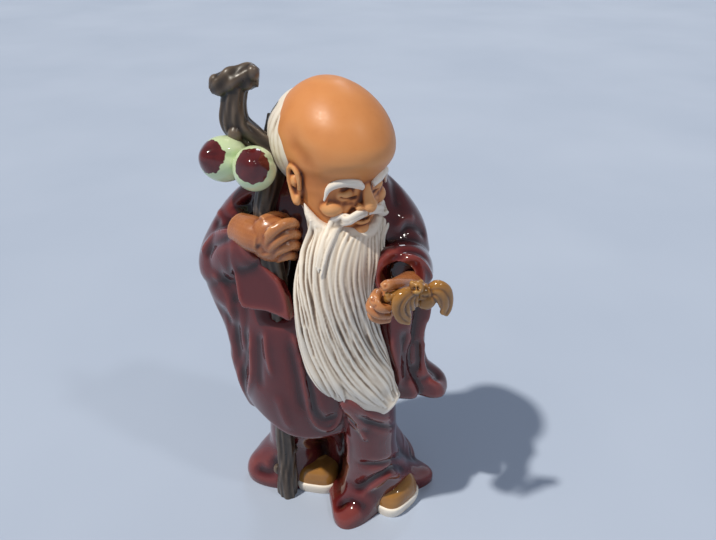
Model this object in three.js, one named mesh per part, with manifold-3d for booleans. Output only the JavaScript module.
// A standing old sage with a gnarled staff, two peaches and a bat, modelled and fired as one piece of
// stoneware. Millimetres, +Z up. He faces -Y, his right hand is on the -X side, and he stands on z = 0.
import * as THREE from "three";
import { mergeVertices } from "three/addons/utils/BufferGeometryUtils.js";
import Module from "manifold-3d";

const wasm = await Module();
wasm.setup();

// Driving sizes. The figure is 303 mm tall over the burl of his staff, and the rest is in proportion.
const heights = {
  staffTop: 303,
  domeTop: 299,
  brow: 250,
  noseBase: 235,
  mouth: 229.5,
  chin: 219,
  shoulder: 226,
  wrist: 212,
  rightElbow: 184,
  cuffEdge: 165,
  beardTip: 104,
  leftCuffHem: 92,
  cloakHem: 58,
  shoe: 26,
};
const headTurn = 18;
const domeCentre = { x: -8, y: -6 };
const staffRadius = 6;
const fingerRadius = 3.2;
const fingerCount = 4;
const lockCount = 17;
const lockDepth = 0.07;
const oxblood = { color: 0x5a1a1c, roughness: 0.2, metalness: 0 };

// Every form goes a little below the floor and is cut off flat there.
const belowFloor = -3;
const degrees = Math.PI / 180;

// A bearing is a direction seen from above, in degrees: 0 is his front, 90 his left, 180 his back.
const towards = (bearing) => [Math.sin(bearing * degrees), -Math.cos(bearing * degrees)];
const turnBetween = (a, b) => ((((a - b) % 360) + 540) % 360) - 180;
const bell = (distance, width) => Math.exp(-((distance / width) ** 2));
const ramp = (value, from, to) => {
  const t = Math.min(1, Math.max(0, (value - from) / (to - from)));
  return t * t * (3 - 2 * t);
};

// One field of a list of stations, on a smooth curve through them. The stations are spaced by `key`.
function along(stations, key, at, field, otherwise = 0) {
  const value = (i) => stations[i][field] ?? otherwise;
  const last = stations.length - 1;
  if (at <= stations[0][key]) return value(0);
  if (at >= stations[last][key]) return value(last);
  let i = 0;
  while (at > stations[i + 1][key]) i += 1;
  const step = (j) => stations[j + 1][key] - stations[j][key];
  const slope = (j) => (value(j + 1) - value(j)) / step(j);
  const tangent = (j) => {
    if (j === 0 || j === last || slope(j - 1) * slope(j) <= 0) return 0;
    return (slope(j - 1) * step(j) + slope(j) * step(j - 1)) / (step(j) + step(j - 1));
  };
  const t = (at - stations[i][key]) / step(i);
  const [t2, t3] = [t * t, t * t * t];
  return (
    (2 * t3 - 3 * t2 + 1) * value(i) +
    (t3 - 2 * t2 + t) * step(i) * tangent(i) +
    (3 * t2 - 2 * t3) * value(i + 1) +
    (t3 - t2) * step(i) * tangent(i + 1)
  );
}

function solid(geometry) {
  const bare = geometry.clone();
  for (const name of Object.keys(bare.attributes)) if (name !== "position") bare.deleteAttribute(name);
  const merged = mergeVertices(bare, 1e-4);
  const mesh = new wasm.Mesh({
    numProp: 3,
    vertProperties: new Float32Array(merged.attributes.position.array),
    triVerts: new Uint32Array(merged.index.array),
  });
  return new wasm.Manifold(mesh);
}

// A closed solid from rings of points, each ring a list of [x, y, z], with a fan over each end.
function skin(rings) {
  const sides = rings[0].length;
  const points = rings.flat();
  const centre = (ring) => [0, 1, 2].map((k) => ring.reduce((sum, p) => sum + p[k], 0) / sides);
  const faces = [];
  for (let r = 0; r + 1 < rings.length; r += 1) {
    for (let s = 0; s < sides; s += 1) {
      const [a, b] = [r * sides + s, r * sides + ((s + 1) % sides)];
      faces.push(a, b, b + sides, a, b + sides, a + sides);
    }
  }
  const low = points.push(centre(rings[0])) - 1;
  const high = points.push(centre(rings[rings.length - 1])) - 1;
  const top = (rings.length - 1) * sides;
  for (let s = 0; s < sides; s += 1) {
    const next = (s + 1) % sides;
    faces.push(low, next, s, high, top + s, top + next);
  }
  const geometry = new THREE.BufferGeometry();
  geometry.setAttribute("position", new THREE.Float32BufferAttribute(points.flat(), 3));
  geometry.setIndex(faces);
  return solid(geometry);
}

// A form built up in level rings: robe, skirt, sleeve and head. A level has a height z, a centre x and y,
// half sizes wide and deep, a turn in degrees and a squareness. A fold is a ridge, or with a negative depth a
// hollow, that runs from its low to its high level and drifts round the form by some degrees on the way.
function upright({ levels, rings, sides, folds = [], lift = () => 0 }) {
  const [low, high] = [levels[0].z, levels[levels.length - 1].z];
  const made = [];
  for (let r = 0; r <= rings; r += 1) {
    const z = low + ((high - low) * r) / rings;
    const at = (field, otherwise) => along(levels, "z", z, field, otherwise);
    const [x, y, turn] = [at("x"), at("y"), at("turn")];
    const [wide, deep, power] = [at("wide"), at("deep"), at("power", 2)];
    const ring = [];
    for (let s = 0; s < sides; s += 1) {
      const bearing = (360 * s) / sides - 180;
      const [across, back] = towards(bearing);
      let reach = (Math.abs(across / wide) ** power + Math.abs(back / deep) ** power) ** (-1 / power);
      const facing = bearing + turn;
      for (const { at: middle, drift = 0, low: from, high: to, depth, width, fade = 12 } of folds) {
        const strength = ramp(z, from - fade, from) * (1 - ramp(z, to, to + fade));
        const centreLine = middle + (drift * (z - from)) / (to - from);
        reach += depth * strength * bell(turnBetween(facing, centreLine), width);
      }
      const [dx, dy] = towards(facing);
      ring.push([x + dx * reach, y + dy * reach, z + lift(facing, z)]);
    }
    made.push(ring);
  }
  return skin(made);
}

// A form along a path: arms, fingers, staff, beard and wings. A stop has x, y, z and half sizes wide and
// thick. Its thick side lies along `over`, as near as the path lets it.
function limb({ stops, rings, sides, over = [0, 0, 1], bumps = () => 0 }) {
  const corners = stops.map(({ x, y, z }) => new THREE.Vector3(x, y, z));
  const path = new THREE.CatmullRomCurve3(corners, false, "centripetal");
  const stations = stops.map((p, i) => ({ thick: p.wide, ...p, i }));
  const upward = new THREE.Vector3(...over);
  const made = [];
  for (let r = 0; r <= rings; r += 1) {
    const t = r / rings;
    const place = path.getUtoTmapping(t) * (stops.length - 1);
    const point = path.getPointAt(t);
    const tangent = path.getTangentAt(t);
    const side = new THREE.Vector3().crossVectors(upward, tangent).normalize();
    const thickWay = new THREE.Vector3().crossVectors(tangent, side);
    const at = (field) => along(stations, "i", place, field);
    const ring = [];
    for (let s = 0; s < sides; s += 1) {
      const angle = (2 * Math.PI * s) / sides;
      const swell = 1 + bumps(t, angle);
      const [a, b] = [Math.cos(angle) * at("wide") * swell, Math.sin(angle) * at("thick") * swell];
      ring.push(point.clone().addScaledVector(side, a).addScaledVector(thickWay, b).toArray());
    }
    made.push(ring);
  }
  return skin(made);
}

// A ball with three half sizes, tilted by Euler angles in degrees.
function ball({ at, size, tilt = [0, 0, 0], sides = 10, rings = 6 }) {
  const turn = new THREE.Euler(...tilt.map((angle) => angle * degrees), "ZYX");
  const place = new THREE.Matrix4().compose(
    new THREE.Vector3(...at),
    new THREE.Quaternion().setFromEuler(turn),
    new THREE.Vector3(...size),
  );
  return solid(new THREE.SphereGeometry(1, sides, rings).applyMatrix4(place));
}

const forms = {};

// The under-robe: over his standing leg, over the leg that steps forward, and the cloth between them.
forms.skirtBack = upright({
  levels: [
    { z: belowFloor, x: -6, y: 21, wide: 49, deep: 27 },
    { z: 5, x: -6, y: 21, wide: 50, deep: 28 },
    { z: 22, x: -8, y: 20, wide: 43, deep: 25 },
    { z: 50, x: -12, y: 17, wide: 38, deep: 23 },
    { z: 100, x: -14, y: 12, wide: 36, deep: 24 },
  ],
  rings: 6,
  sides: 24,
  folds: [
    { at: -100, low: 0, high: 12, depth: 14, width: 20, fade: 26 },
    { at: 88, low: 0, high: 12, depth: 9, width: 24, fade: 30 },
    { at: 180, low: 0, high: 14, depth: 4, width: 12, fade: 44 },
    { at: 152, low: 0, high: 14, depth: -4, width: 9, fade: 44 },
    { at: -152, low: 0, high: 14, depth: -4, width: 9, fade: 44 },
  ],
});
forms.skirtLeft = upright({
  levels: [
    { z: belowFloor, x: 30, y: 4, wide: 26, deep: 26 },
    { z: 6, x: 30, y: 4, wide: 26, deep: 26 },
    { z: 30, x: 24, y: 2, wide: 20.5, deep: 25 },
    { z: 60, x: 18, y: -2, wide: 16.5, deep: 24 },
    { z: 100, x: 12, y: -4, wide: 17, deep: 24 },
  ],
  rings: 5,
  sides: 16,
});
forms.skirtFront = upright({
  levels: [
    { z: belowFloor, x: 19, y: -12, wide: 36, deep: 25, turn: 8 },
    { z: 4, x: 19, y: -12, wide: 36, deep: 25, turn: 8 },
    { z: 14, x: 17, y: -15, wide: 32, deep: 24, turn: 8 },
    { z: 34, x: 11, y: -20, wide: 26, deep: 23, turn: 6 },
    { z: 60, x: 6, y: -24, wide: 21, deep: 21 },
    { z: 90, x: 4, y: -25, wide: 21, deep: 23 },
    { z: 108, x: 3, y: -25, wide: 21, deep: 24 },
    { z: 122, x: 0, y: -24, wide: 16, deep: 18 },
  ],
  rings: 10,
  sides: 26,
  folds: [
    { at: -22, low: 0, high: 4, depth: 15, width: 20, fade: 26 },
    { at: -52, low: 0, high: 4, depth: 13, width: 18, fade: 22 },
    { at: 78, low: 0, high: 3, depth: 8, width: 16, fade: 20 },
    { at: 34, low: 0, high: 10, depth: -8, width: 17, fade: 14 },
    { at: -30, drift: -14, low: 40, high: 100, depth: 3, width: 9, fade: 14 },
    { at: -4, drift: -14, low: 44, high: 94, depth: -3, width: 9, fade: 14 },
    { at: 20, drift: -20, low: 50, high: 96, depth: 2.5, width: 9, fade: 14 },
  ],
});
forms.skirtPeak = limb({
  stops: [
    { x: 4, y: -38, z: 84, wide: 6 },
    { x: -6, y: -43, z: 104, wide: 6 },
    { x: -13, y: -45, z: 119, wide: 4.5 },
    { x: -16, y: -46, z: 127, wide: 2 },
  ],
  rings: 6,
  sides: 8,
  over: [0, -1, 0],
});

// His body under the robe, which joins the cloth, the sleeves and the beard to one solid.
forms.body = upright({
  levels: [
    { z: 96, x: 2, y: -10, wide: 18, deep: 20 },
    { z: 104, x: 4, y: -13, wide: 24, deep: 21 },
    { z: 190, x: 2, y: -12, wide: 26, deep: 22 },
    { z: heights.shoulder, x: -6, y: -4, wide: 20, deep: 18 },
  ],
  rings: 4,
  sides: 12,
});

// The outer robe, from its hem at his shins to his hunched neck. Its hem rises over the forward leg.
forms.cloak = upright({
  levels: [
    { z: heights.cloakHem, x: -20, y: 7, wide: 34, deep: 26, turn: -10 },
    { z: heights.cloakHem + 2, x: -20, y: 7, wide: 40, deep: 32, turn: -10 },
    { z: heights.cloakHem + 8, x: -20, y: 7, wide: 43.5, deep: 35, turn: -10 },
    { z: 100, x: -19, y: 6, wide: 48, deep: 38, turn: -10 },
    { z: 140, x: -17, y: 6, wide: 48, deep: 38, turn: -10 },
    { z: 180, x: -15, y: 8, wide: 47, deep: 34, turn: -10 },
    { z: 210, x: -13, y: 9, wide: 43, deep: 30, turn: -10 },
    { z: 230, x: -12, y: 10, wide: 37, deep: 25, turn: -8 },
    { z: 242, x: -10, y: 11, wide: 28, deep: 20 },
    { z: 250, x: -10, y: 12, wide: 13, deep: 10 },
  ],
  rings: 16,
  sides: 34,
  lift: (bearing, z) => 38 * bell(turnBetween(bearing, 16), 40) * (1 - ramp(z, heights.cloakHem, 140)),
  folds: [
    { at: -46, drift: -8, low: 66, high: 150, depth: 3.5, width: 8, fade: 16 },
    { at: -30, drift: -6, low: 60, high: 150, depth: -3, width: 8, fade: 16 },
    { at: -52, low: 172, high: 200, depth: -13, width: 13, fade: 12 },
    { at: 180, low: 66, high: 190, depth: 3, width: 12, fade: 30 },
    { at: 158, low: 66, high: 180, depth: -3, width: 9, fade: 30 },
    { at: -158, low: 66, high: 180, depth: -3, width: 9, fade: 30 },
    { at: 132, low: 66, high: 170, depth: 3, width: 10, fade: 30 },
    { at: -132, low: 66, high: 170, depth: 3, width: 10, fade: 30 },
  ],
});

// His right sleeve: shoulder to elbow, elbow to wrist, the wide hanging cuff, and the cloth behind it.
forms.rightUpperArm = limb({
  stops: [
    { x: -28, y: 16, z: heights.shoulder, wide: 19 },
    { x: -45, y: 19, z: 219, wide: 19.5 },
    { x: -58, y: 23, z: 200, wide: 20 },
    { x: -63.5, y: 23.5, z: heights.rightElbow, wide: 19.5 },
    { x: -60, y: 18, z: 172, wide: 12 },
  ],
  rings: 6,
  sides: 12,
  over: [0, 1, 0],
});
forms.rightForearm = limb({
  stops: [
    { x: -65, y: 22, z: heights.rightElbow + 2, wide: 14, thick: 15 },
    { x: -63, y: 8, z: 200, wide: 12, thick: 15 },
    { x: -57, y: -4, z: 209, wide: 10, thick: 13 },
    { x: -54, y: -9, z: heights.wrist, wide: 8, thick: 10 },
  ],
  rings: 4,
  sides: 10,
});
forms.rightCuff = upright({
  levels: [
    { z: heights.cuffEdge, x: -55, y: -14, wide: 18, deep: 6.5, turn: -40, power: 3 },
    { z: heights.cuffEdge + 3, x: -55, y: -14, wide: 19.5, deep: 8.5, turn: -40, power: 3 },
    { z: 176, x: -57, y: -12, wide: 18, deep: 9, turn: -42, power: 3 },
    { z: 192, x: -59, y: -9, wide: 16, deep: 9, turn: -48, power: 3 },
    { z: 206, x: -61, y: -4, wide: 13, deep: 8, turn: -54, power: 2.6 },
    { z: 217, x: -61, y: 0, wide: 9, deep: 6, turn: -58, power: 2.2 },
  ],
  rings: 7,
  sides: 18,
  folds: [{ at: -46, low: 160, high: 190, depth: -1.5, width: 26, fade: 8 }],
});
forms.rightDrape = upright({
  levels: [
    { z: heights.cloakHem + 2, x: -45, y: 14, wide: 14, deep: 15 },
    { z: heights.cloakHem + 6, x: -46, y: 14, wide: 18, deep: 20 },
    { z: 76, x: -47, y: 15, wide: 20, deep: 23 },
    { z: 110, x: -50, y: 17, wide: 22, deep: 25 },
    { z: 150, x: -53, y: 20, wide: 21.5, deep: 24 },
    { z: 180, x: -60, y: 24, wide: 20, deep: 21 },
    { z: 200, x: -54, y: 21, wide: 15, deep: 15 },
  ],
  rings: 9,
  sides: 20,
  folds: [
    { at: -56, low: 70, high: 150, depth: -4, width: 12, fade: 20 },
    { at: -84, low: 70, high: 150, depth: 2.5, width: 12, fade: 20 },
    { at: -112, low: 70, high: 150, depth: -3.5, width: 11, fade: 20 },
  ],
});

// His left sleeve, and its long hanging cuff, which flares out at its hem.
forms.leftUpperArm = limb({
  stops: [
    { x: -4, y: 8, z: 231, wide: 20 },
    { x: 11, y: 2, z: 224, wide: 20 },
    { x: 25, y: -8, z: 206, wide: 20 },
    { x: 29, y: -16, z: 190, wide: 19 },
  ],
  rings: 5,
  sides: 12,
  over: [0, 1, 0],
});
forms.leftForearm = limb({
  stops: [
    { x: 30, y: -14, z: 188, wide: 18 },
    { x: 25, y: -30, z: 191, wide: 18.5 },
    { x: 20, y: -40, z: 195, wide: 17 },
    { x: 17, y: -46, z: 197, wide: 14 },
  ],
  rings: 4,
  sides: 14,
});
forms.leftCuff = upright({
  levels: [
    { z: heights.leftCuffHem, x: 34, y: -27, wide: 23, deep: 12, turn: -24, power: 2.6 },
    { z: heights.leftCuffHem + 3, x: 34, y: -27, wide: 26, deep: 14.5, turn: -24, power: 2.6 },
    { z: 104, x: 33, y: -27, wide: 25, deep: 15, turn: -24, power: 2.4 },
    { z: 120, x: 28, y: -27, wide: 18.5, deep: 15, turn: -22 },
    { z: 145, x: 26, y: -28, wide: 17, deep: 16, turn: -20 },
    { z: 175, x: 27, y: -27, wide: 19, deep: 18, turn: -20 },
    { z: 192, x: 26, y: -24, wide: 17, deep: 16, turn: -20 },
  ],
  rings: 9,
  sides: 22,
  folds: [
    { at: 16, low: 94, high: 172, depth: -6, width: 12, fade: 10 },
    { at: 38, low: 96, high: 172, depth: 2, width: 9, fade: 10 },
    { at: 60, low: 110, high: 172, depth: -4, width: 10, fade: 10 },
    { at: -150, low: 100, high: 170, depth: -3, width: 14, fade: 14 },
  ],
});

// The head: a tall bald dome that overhangs the face, turned a little to his left.
const onFace = (forward, side, z) => ({
  x: domeCentre.x + 1 + forward * towards(headTurn)[0] + side * towards(headTurn + 90)[0],
  y: domeCentre.y - 1 + forward * towards(headTurn)[1] + side * towards(headTurn + 90)[1],
  z,
});
const level = (z, wide, deep, shift = 0) => ({ z, ...onFace(shift, 0, z), wide, deep, turn: headTurn });
forms.head = upright({
  levels: [
    level(heights.chin - 4, 10, 12, 3),
    level(heights.chin + 2, 15, 18, 3),
    level(heights.mouth, 20, 24, 3),
    level(heights.noseBase + 3, 23, 26.5, 2),
    level(heights.brow - 5, 24.5, 28, 1),
    level(heights.brow, 25.5, 29, 1),
    level(heights.brow + 6, 28, 33.5, 1),
    level(268, 29.5, 36, 1),
    level(280, 27.5, 31.5, -1.5),
    level(290, 20, 23.5, -4),
    level(296, 12, 14, -5),
    level(heights.domeTop, 4, 5, -5),
  ],
  rings: 14,
  sides: 22,
});
forms.hair = upright({
  levels: [
    level(238, 14, 12, -14),
    level(244, 20, 17, -13),
    level(254, 25, 24, -11),
    level(268, 28.5, 29, -10),
    level(282, 25.5, 27, -9),
    level(292, 16, 20, -8),
    level(297, 6, 8, -8),
  ],
  rings: 5,
  sides: 14,
});
const ears = { aside: 24.5, back: 2, z: 243, turn: 12, size: [3, 6, 12] };
for (const [name, side] of [["rightEar", -1], ["leftEar", 1]]) {
  const { x, y, z } = onFace(-ears.back, side * ears.aside, ears.z);
  const tilt = [8, 0, headTurn + side * ears.turn];
  forms[name] = ball({ at: [x, y, z], size: ears.size, tilt, sides: 8 });
}

// The face: a straight nose, closed calm eyes, full brows, lips and a moustache. Its points are given forward
// of the middle of the head, to his left of it, and by height, with the half width there.
function faceLimb(points, rings, sides) {
  const stops = points.map(([forward, aside, z, wide]) => ({ ...onFace(forward, aside, z), wide }));
  return limb({ stops, rings, sides });
}
const { brow, noseBase, mouth } = heights;
const noseLine = [
  [24, 0, brow - 1, 2.5],
  [29.5, 0, brow - 9, 3.4],
  [30, 0, noseBase + 2, 4.4],
  [26, 0, noseBase - 1, 3.4],
];
forms.nose = faceLimb(noseLine, 5, 8);
const lipLine = [
  [23, -5.5, mouth - 0.5, 1],
  [26.3, -2, mouth, 2.2],
  [26.3, 2, mouth, 2.2],
  [23, 5.5, mouth - 0.5, 1],
];
forms.lips = faceLimb(lipLine, 5, 6);
for (const [name, side] of [["right", -1], ["left", 1]]) {
  const inOrder = (points) => (side < 0 ? points : points.reverse());
  const eye = onFace(25, side * 9, brow - 5.5);
  const tilt = [0, 0, headTurn + side * 18];
  forms[name + "Eye"] = ball({ at: [eye.x, eye.y, eye.z], size: [4.6, 3, 2.6], tilt });
  const browLine = inOrder([
    [29, side * 3.5, brow - 0.5, 1.2],
    [28, side * 9, brow + 2, 2.4],
    [23, side * 15, brow + 1, 2.2],
    [18, side * 18.5, brow - 4, 1],
  ]);
  forms[name + "Brow"] = faceLimb(browLine, 6, 6);
  const moustacheLine = inOrder([
    [29, side * 0.2, noseBase - 1, 2.4],
    [27.5, side * 7, noseBase - 2.5, 2.6],
    [23.5, side * 12.5, noseBase - 8, 2.4],
    [24, side * 15, noseBase - 18, 1.2],
  ]);
  forms[name + "Moustache"] = faceLimb(moustacheLine, 7, 6);
}

// The beard: a long tongue of locks from the jaw, which sweeps to his left at its end.
forms.beard = limb({
  stops: [
    { x: -3, y: -18, z: 236, wide: 19, thick: 10 },
    { x: -4, y: -24, z: 225, wide: 23, thick: 13 },
    { x: -12, y: -29, z: 206, wide: 24, thick: 15 },
    { x: -16, y: -31, z: 184, wide: 22.5, thick: 16 },
    { x: -14, y: -34, z: 156, wide: 22.5, thick: 16 },
    { x: -8, y: -37, z: 134, wide: 22.5, thick: 15 },
    { x: 3, y: -40, z: 118, wide: 18, thick: 13 },
    { x: 13, y: -45, z: 109, wide: 10.5, thick: 9 },
    { x: 19, y: -49, z: heights.beardTip, wide: 3, thick: 5 },
  ],
  rings: 12,
  sides: 2 * lockCount,
  over: [0, 1, 0],
  bumps: (t, angle) => lockDepth * ramp(t, 0.08, 0.3) * Math.cos(lockCount * angle),
});

// The staff, its burl and twig, and the peaches on it.
forms.staff = limb({
  stops: [
    { x: -44, y: 2, z: belowFloor, wide: staffRadius + 1 },
    { x: -43.5, y: 2, z: 30, wide: staffRadius + 0.5 },
    { x: -43, y: 0, z: 60, wide: staffRadius },
    { x: -42, y: -6, z: 130, wide: staffRadius },
    { x: -44.5, y: -13, z: 185, wide: staffRadius },
    { x: -46, y: -11, z: 208, wide: staffRadius },
    { x: -46, y: -4, z: 228, wide: staffRadius },
    { x: -40, y: 4, z: 243, wide: staffRadius + 1 },
    { x: -38, y: 8, z: 256, wide: staffRadius + 2 },
    { x: -46, y: 12, z: 264, wide: staffRadius + 2 },
    { x: -53.5, y: 15, z: 272, wide: staffRadius + 1.5 },
    { x: -54, y: 15.5, z: 282, wide: staffRadius + 0.5 },
    { x: -52, y: 15, z: 292, wide: staffRadius },
  ],
  rings: 24,
  sides: 7,
  over: [0, 1, 0],
  bumps: (t, angle) => 0.08 * Math.sin(3 * angle + 26 * t) + 0.06 * Math.sin(41 * t),
});
forms.burl = limb({
  stops: [
    { x: -64.5, y: 20, z: 290.5, wide: 3 },
    { x: -60, y: 18, z: 292, wide: 6 },
    { x: -52, y: 15, z: 295, wide: 7 },
    { x: -45, y: 12.5, z: heights.staffTop - 6.5, wide: 5.5, thick: 6.5 },
    { x: -40.5, y: 11, z: heights.staffTop - 7, wide: 3, thick: 5 },
  ],
  rings: 7,
  sides: 8,
});
forms.twig = limb({
  stops: [
    { x: -38, y: 10, z: 252, wide: 3.5 },
    { x: -36, y: 20, z: 262, wide: 3 },
    { x: -34, y: 22, z: 274, wide: 1.5 },
  ],
  rings: 3,
  sides: 6,
});
const peach = { sides: 12, rings: 8 };
forms.leftPeach = ball({ at: [-63, 8, 256], size: [13.5, 12.5, 12.5], tilt: [0, 20, 0], ...peach });
forms.rightPeach = ball({ at: [-50.5, -9, 255], size: [11.5, 12, 12], ...peach });

// Right fist, its back towards his right, four fingers stacked round the staff.
forms.rightPalm = ball({ at: [-50, -12, heights.wrist], size: [9, 9, 12], tilt: [0, 0, -30] });
for (let i = 0; i < fingerCount; i += 1) {
  const z = heights.wrist + 8 - 5.2 * i;
  forms["rightFinger" + (i + 1)] = limb({
    stops: [
      { x: -55, y: -14, z: z - 0.5, wide: fingerRadius - 0.6 },
      { x: -49, y: -20.5, z, wide: fingerRadius },
      { x: -41, y: -21.5, z: z - 0.5, wide: fingerRadius },
      { x: -36, y: -15, z: z - 1, wide: fingerRadius - 0.6 },
    ],
    rings: 4,
    sides: 6,
  });
}

// Left hand, reaching forward with the thumb on top and the fingers curled below the bat.
forms.leftWrist = limb({
  stops: [
    { x: 16, y: -42, z: 197, wide: 9 },
    { x: 6, y: -56, z: 200, wide: 8 },
  ],
  rings: 2,
  sides: 10,
});
forms.leftPalm = ball({ at: [4, -58, 199.5], size: [10, 8.5, 8], tilt: [0, 0, 30] });
for (let i = 0; i < fingerCount; i += 1) {
  const drop = 3.6 * i;
  forms["leftFinger" + (i + 1)] = limb({
    stops: [
      { x: 1 - drop * 0.5, y: -56, z: 203 - drop, wide: fingerRadius - 0.6 },
      { x: -6 + drop * 0.3, y: -62, z: 203 - drop, wide: fingerRadius },
      { x: -3 + drop * 0.4, y: -68, z: 200 - drop, wide: fingerRadius - 0.4 },
      { x: 5, y: -71, z: 198 - drop * 0.8, wide: fingerRadius - 1 },
    ],
    rings: 4,
    sides: 6,
  });
}
forms.leftThumb = limb({
  stops: [
    { x: 8, y: -54, z: 205, wide: fingerRadius },
    { x: 0, y: -62, z: 207.5, wide: fingerRadius - 0.2 },
    { x: 5, y: -69, z: 207, wide: fingerRadius - 0.8 },
  ],
  rings: 4,
  sides: 7,
});

// The bat that he holds out, its wings folded down at each side.
forms.batBody = ball({ at: [13, -72, 203], size: [8, 7.5, 8.5] });
forms.batHead = ball({ at: [11, -75, 211], size: [4.6, 4.5, 4.2] });
forms.batTail = limb({
  stops: [
    { x: -4, y: -67, z: 204, wide: 2 },
    { x: 3, y: -70, z: 205, wide: 2.4 },
    { x: 10, y: -72, z: 206, wide: 3 },
  ],
  rings: 3,
  sides: 8,
});
forms.batRightWing = limb({
  stops: [
    { x: 8, y: -73, z: 209, wide: 3, thick: 3 },
    { x: 1, y: -74, z: 208, wide: 5, thick: 3 },
    { x: -1, y: -75, z: 201, wide: 5, thick: 3 },
    { x: 1.5, y: -76, z: 194, wide: 3.8, thick: 2.5 },
    { x: 6.5, y: -76, z: 190, wide: 1.6, thick: 1.6 },
  ],
  rings: 6,
  sides: 7,
  over: [0, -1, 0],
});
forms.batLeftWing = limb({
  stops: [
    { x: 17, y: -73, z: 208, wide: 3, thick: 3 },
    { x: 22, y: -74, z: 212, wide: 4, thick: 3.2 },
    { x: 27, y: -75, z: 208, wide: 4.6, thick: 3.2 },
    { x: 28.5, y: -76, z: 199, wide: 4.2, thick: 3.2 },
    { x: 27, y: -76.5, z: 191, wide: 2.2, thick: 2.2 },
  ],
  rings: 6,
  sides: 7,
  over: [0, -1, 0],
});

// Shoes on thick soles, their toes turned up.
function shoe({ x, y, turn, length, width }) {
  const part = (z, share, power) => ({ z, x, y, wide: width * share, deep: length * share, turn, power });
  return upright({
    levels: [
      part(belowFloor, 0.92, 2.8),
      part(3, 0.98, 2.8),
      part(9, 1.04, 2.8),
      part(10.5, 0.96, 2.8),
      part(17, 0.95, 2.5),
      part(22, 0.8, 2.2),
      part(heights.shoe, 0.4, 2),
    ],
    rings: 7,
    sides: 14,
  });
}
forms.rightShoe = shoe({ x: -14.5, y: 11, turn: -29, length: 22, width: 14 });
forms.leftShoe = shoe({ x: 21.5, y: -23, turn: 24, length: 24.5, width: 16 });

// Below the edge of the right cuff the robe is hollowed, so the edge stands free of it.
const underCuff = limb({
  stops: [
    { x: -77, y: 2, z: heights.cuffEdge - 3, wide: 4, thick: 3 },
    { x: -62, y: -18, z: heights.cuffEdge - 3, wide: 7, thick: 3 },
    { x: -43, y: -31, z: heights.cuffEdge - 3, wide: 6, thick: 3 },
  ],
  rings: 6,
  sides: 8,
});
const ground = { side: 400, deep: 100 };
const groundBox = new THREE.BoxGeometry(ground.side, ground.side, ground.deep);
const floor = solid(groundBox.translate(0, 0, -ground.deep / 2));

let whole = null;
for (const form of Object.values(forms)) whole = whole ? whole.add(form) : form;
const fired = whole.subtract(underCuff).subtract(floor).getMesh();

const geometry = new THREE.BufferGeometry();
geometry.setAttribute("position", new THREE.Float32BufferAttribute(fired.vertProperties, 3));
geometry.setIndex(new THREE.BufferAttribute(fired.triVerts, 1));
const figure = new THREE.Mesh(geometry, new THREE.MeshStandardMaterial(oxblood));
figure.name = "figurine";

const figurine = new THREE.Group();
figurine.add(figure);
export default figurine;
